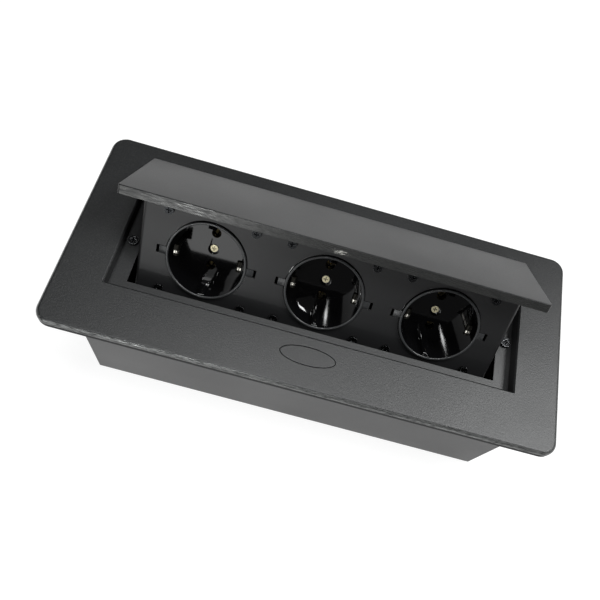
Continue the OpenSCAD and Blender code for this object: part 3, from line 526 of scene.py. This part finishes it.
class POWERBOX_OT_turn_screws(bpy.types.Operator):
    """Rounds and plates the screws that show, with painted shade in their cross recesses and painted
    highlight on the rims of the dark ones
    """

    bl_idname = "power_box.turn_screws"
    bl_label = "Screws"

    def execute(self, context):
        edge = sizes().screw_edge
        # Columns: node, piece, recess finish (painted shade), head finish, rim finish (painted highlight on
        # the dark screws), and the way out
        for node, name, recess, head, rim, out in (
            ("bracket_screws", "strip_screws", "oxide", "dark", "bare", Vector((0, 0, 1))),
            ("panel_screws", "socket_screws", "oxide", "dark", "bare", PANEL_OUT),
            ("centre_screws", "recess_screws", "contact", "brass", "brass", PANEL_OUT),
        ):
            screws = softened(node, name, edge)
            dress(screws, recess, head, rim)
            top = max(vertex.co.dot(out) for vertex in screws.data.vertices)
            # Rims near the top get the rim finish, a painted highlight on the dark screws
            paint_faces(
                screws, 2,
                lambda face: face.normal.dot(out) > 0.1 and face.center.dot(out) > top - 1.2 * edge,
            )
            # Flat tops get the head finish, and the cross recesses keep the recess finish, which is painted
            # shade
            paint_faces(
                screws, 1,
                lambda face: face.normal.dot(out) > FLAT_ON and face.center.dot(out) > top - edge,
            )
        return {"FINISHED"}


class POWERBOX_OT_finish_insides(bpy.types.Operator):
    """Gives the pieces below the plate their finishes"""

    bl_idname = "power_box.finish_insides"
    bl_label = "Pieces below the plate"

    def execute(self, context):
        by_slot = {
            "black_aluminium": "coat", "black_steel": "sheet", "zinc_steel": "zinc", "spring_steel": "zinc",
            "rubber": "rubber", "black_nylon": "nylon", "white_acetal": "acetal", "gloss_black": "gloss",
            "black_screw": "oxide", "brass": "contact",
        }
        for part in frame["record"]["subparts"]:
            dress(frame["nodes"][part["node"]], by_slot[part["material_slot"]])
        return {"FINISHED"}


class POWERBOX_OT_bend_springs(bpy.types.Operator):
    """Rounds and plates the button's spring and the catch, and bakes their placement into their meshes"""

    bl_idname = "power_box.bend_springs"
    bl_label = "Springs under the button"

    def execute(self, context):
        for node, name in (("button_spring", "return_spring"), ("catch_spring", "catch_strip")):
            spring = softened(node, name, sizes().wire_edge, WIRE_ANGLE, rides=False)
            dress(spring, "zinc")
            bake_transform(spring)
        return {"FINISHED"}


class POWERBOX_OT_set_stage(bpy.types.Operator):
    """Builds the floor, the lamps and the camera"""

    bl_idname = "power_box.set_stage"
    bl_label = "Studio"

    def execute(self, context):
        scene = context.scene
        scene.view_settings.view_transform = "Standard"
        make_floor()
        make_world(scene)
        make_lamps()
        make_camera(scene)
        return {"FINISHED"}


def make_floor():
    """Pale floor that looks white to the camera and in reflections and keeps the box's shadow."""
    corners = [(x * FLOOR_HALF, y * FLOOR_HALF, 0) for x, y in ((-1, -1), (1, -1), (1, 1), (-1, 1))]
    mesh = bpy.data.meshes.new("studio_floor")
    mesh.from_pydata(corners, [], [(0, 1, 2, 3)])
    floor = bpy.data.objects.new("studio_floor", mesh)
    bpy.context.scene.collection.objects.link(floor)
    floor.location.z = -FLOOR_DROP
    material, tree, place = new_material("white_paper_floor")
    mottle = noise(tree, place, 1 / FLOOR_MOTTLE, 2.0)
    path = add_node(tree, "ShaderNodeLightPath").outputs
    seen = plain_math(tree, "MAXIMUM", path["Is Camera Ray"], path["Is Glossy Ray"])
    seen = plain_math(tree, "MAXIMUM", seen, path["Is Transmission Ray"])
    close_material(tree, {
        "Base Color": colours().floor,
        "Roughness": remap(tree, mottle, 0.0, 1.0, 0.85, 0.95),
        "Emission Color": WHITE,
        "Emission Strength": remap(tree, seen, 0.0, 1.0, 0.0, FLOOR_GLOW),
    })
    mesh.materials.append(material)


def make_world(scene):
    """Dim even surroundings, so that the lamps draw the highlights."""
    world = bpy.data.worlds.new("studio_world")
    scene.world = world
    world.use_nodes = True
    tree = world.node_tree
    tree.nodes.clear()
    background = add_node(tree, "ShaderNodeBackground", {"Color": WHITE, "Strength": WORLD_LIGHT})
    add_node(tree, "ShaderNodeOutputWorld", {"Surface": background.outputs["Background"]})


def make_lamps():
    """Soft boxes: name, place, aim, size in metres and power in watts."""
    for name, place, aim, size, power in (
        ("front_box", (-0.46, -1.0, 0.47), (0.0, 0.0, 0.06), (0.8, 0.74), 3.2),
        ("key_box", (0.70, 0.12, 1.05), (0.05, 0.0, 0.06), (0.6, 0.36), 13.2),
        ("top_box", (-0.06, 0.12, 1.26), (0.0, 0.0, 0.06), (0.7, 0.34), 7.6),
        ("small_lamp", (-0.12, -0.32, 0.62), (0.0, 0.0, 0.06), (0.035, 0.035), 0.6),
        ("low_lamp", (-0.24, -0.80, 0.33), (0.0, 0.0, 0.06), (0.04, 0.04), 0.4),
    ):
        light = bpy.data.lights.new(name, "AREA")
        light.shape = "RECTANGLE"
        light.size, light.size_y = size
        light.energy = power
        light.color = LAMP_TINT
        lamp = bpy.data.objects.new(name, light)
        lamp.location = place
        lamp.rotation_euler = (Vector(aim) - Vector(place)).to_track_quat("-Z", "Y").to_euler()
        bpy.context.scene.collection.objects.link(lamp)


def make_camera(scene):
    """Camera at the photograph's place, held by its azimuth, elevation and roll."""
    level = math.cos(CAMERA_ELEVATION)
    backward = Vector(
        (math.sin(CAMERA_AZIMUTH) * level, -math.cos(CAMERA_AZIMUTH) * level, math.sin(CAMERA_ELEVATION))
    )
    right = Vector((0, 0, 1)).cross(backward).normalized()
    up = backward.cross(right)
    turn = Matrix.Rotation(CAMERA_ROLL, 3, backward)
    axes = Matrix((turn @ right, turn @ up, backward)).transposed()
    data = bpy.data.cameras.new("photo_camera")
    data.lens = CAMERA_LENS
    data.shift_x, data.shift_y = CAMERA_SHIFT
    data.clip_start = 0.01
    camera = bpy.data.objects.new("photo_camera", data)
    camera.matrix_world = Matrix.Translation(CAMERA_PLACE) @ axes.to_4x4()
    scene.collection.objects.link(camera)
    scene.camera = camera


class POWERBOX_PT_sidebar(bpy.types.Panel):
    """Lists the steps that dress the box"""

    bl_label = "Power Box"
    bl_space_type = "VIEW_3D"
    bl_region_type = "UI"
    bl_category = "Power Box"

    def draw(self, context):
        for step in STEPS:
            self.layout.operator(step.bl_idname)


STEPS = (
    POWERBOX_OT_finish_insides,
    POWERBOX_OT_bend_springs,
    POWERBOX_OT_coat_sheets,
    POWERBOX_OT_coat_lid,
    POWERBOX_OT_mould_sockets,
    POWERBOX_OT_turn_screws,
    POWERBOX_OT_set_stage,
)
CLASSES = (PowerBoxColours, PowerBoxSizes) + STEPS + (POWERBOX_PT_sidebar,)


def register():
    for cls in CLASSES:
        bpy.utils.register_class(cls)
    bpy.types.Scene.power_box_colours = bpy.props.PointerProperty(type=PowerBoxColours)
    bpy.types.Scene.power_box_sizes = bpy.props.PointerProperty(type=PowerBoxSizes)


def unregister():
    del bpy.types.Scene.power_box_sizes
    del bpy.types.Scene.power_box_colours
    for cls in reversed(CLASSES):
        bpy.utils.unregister_class(cls)


def main():
    register()
    for step in STEPS:
        group, operation = step.bl_idname.split(".")
        getattr(getattr(bpy.ops, group), operation)()


if __name__ == "__main__":
    main()
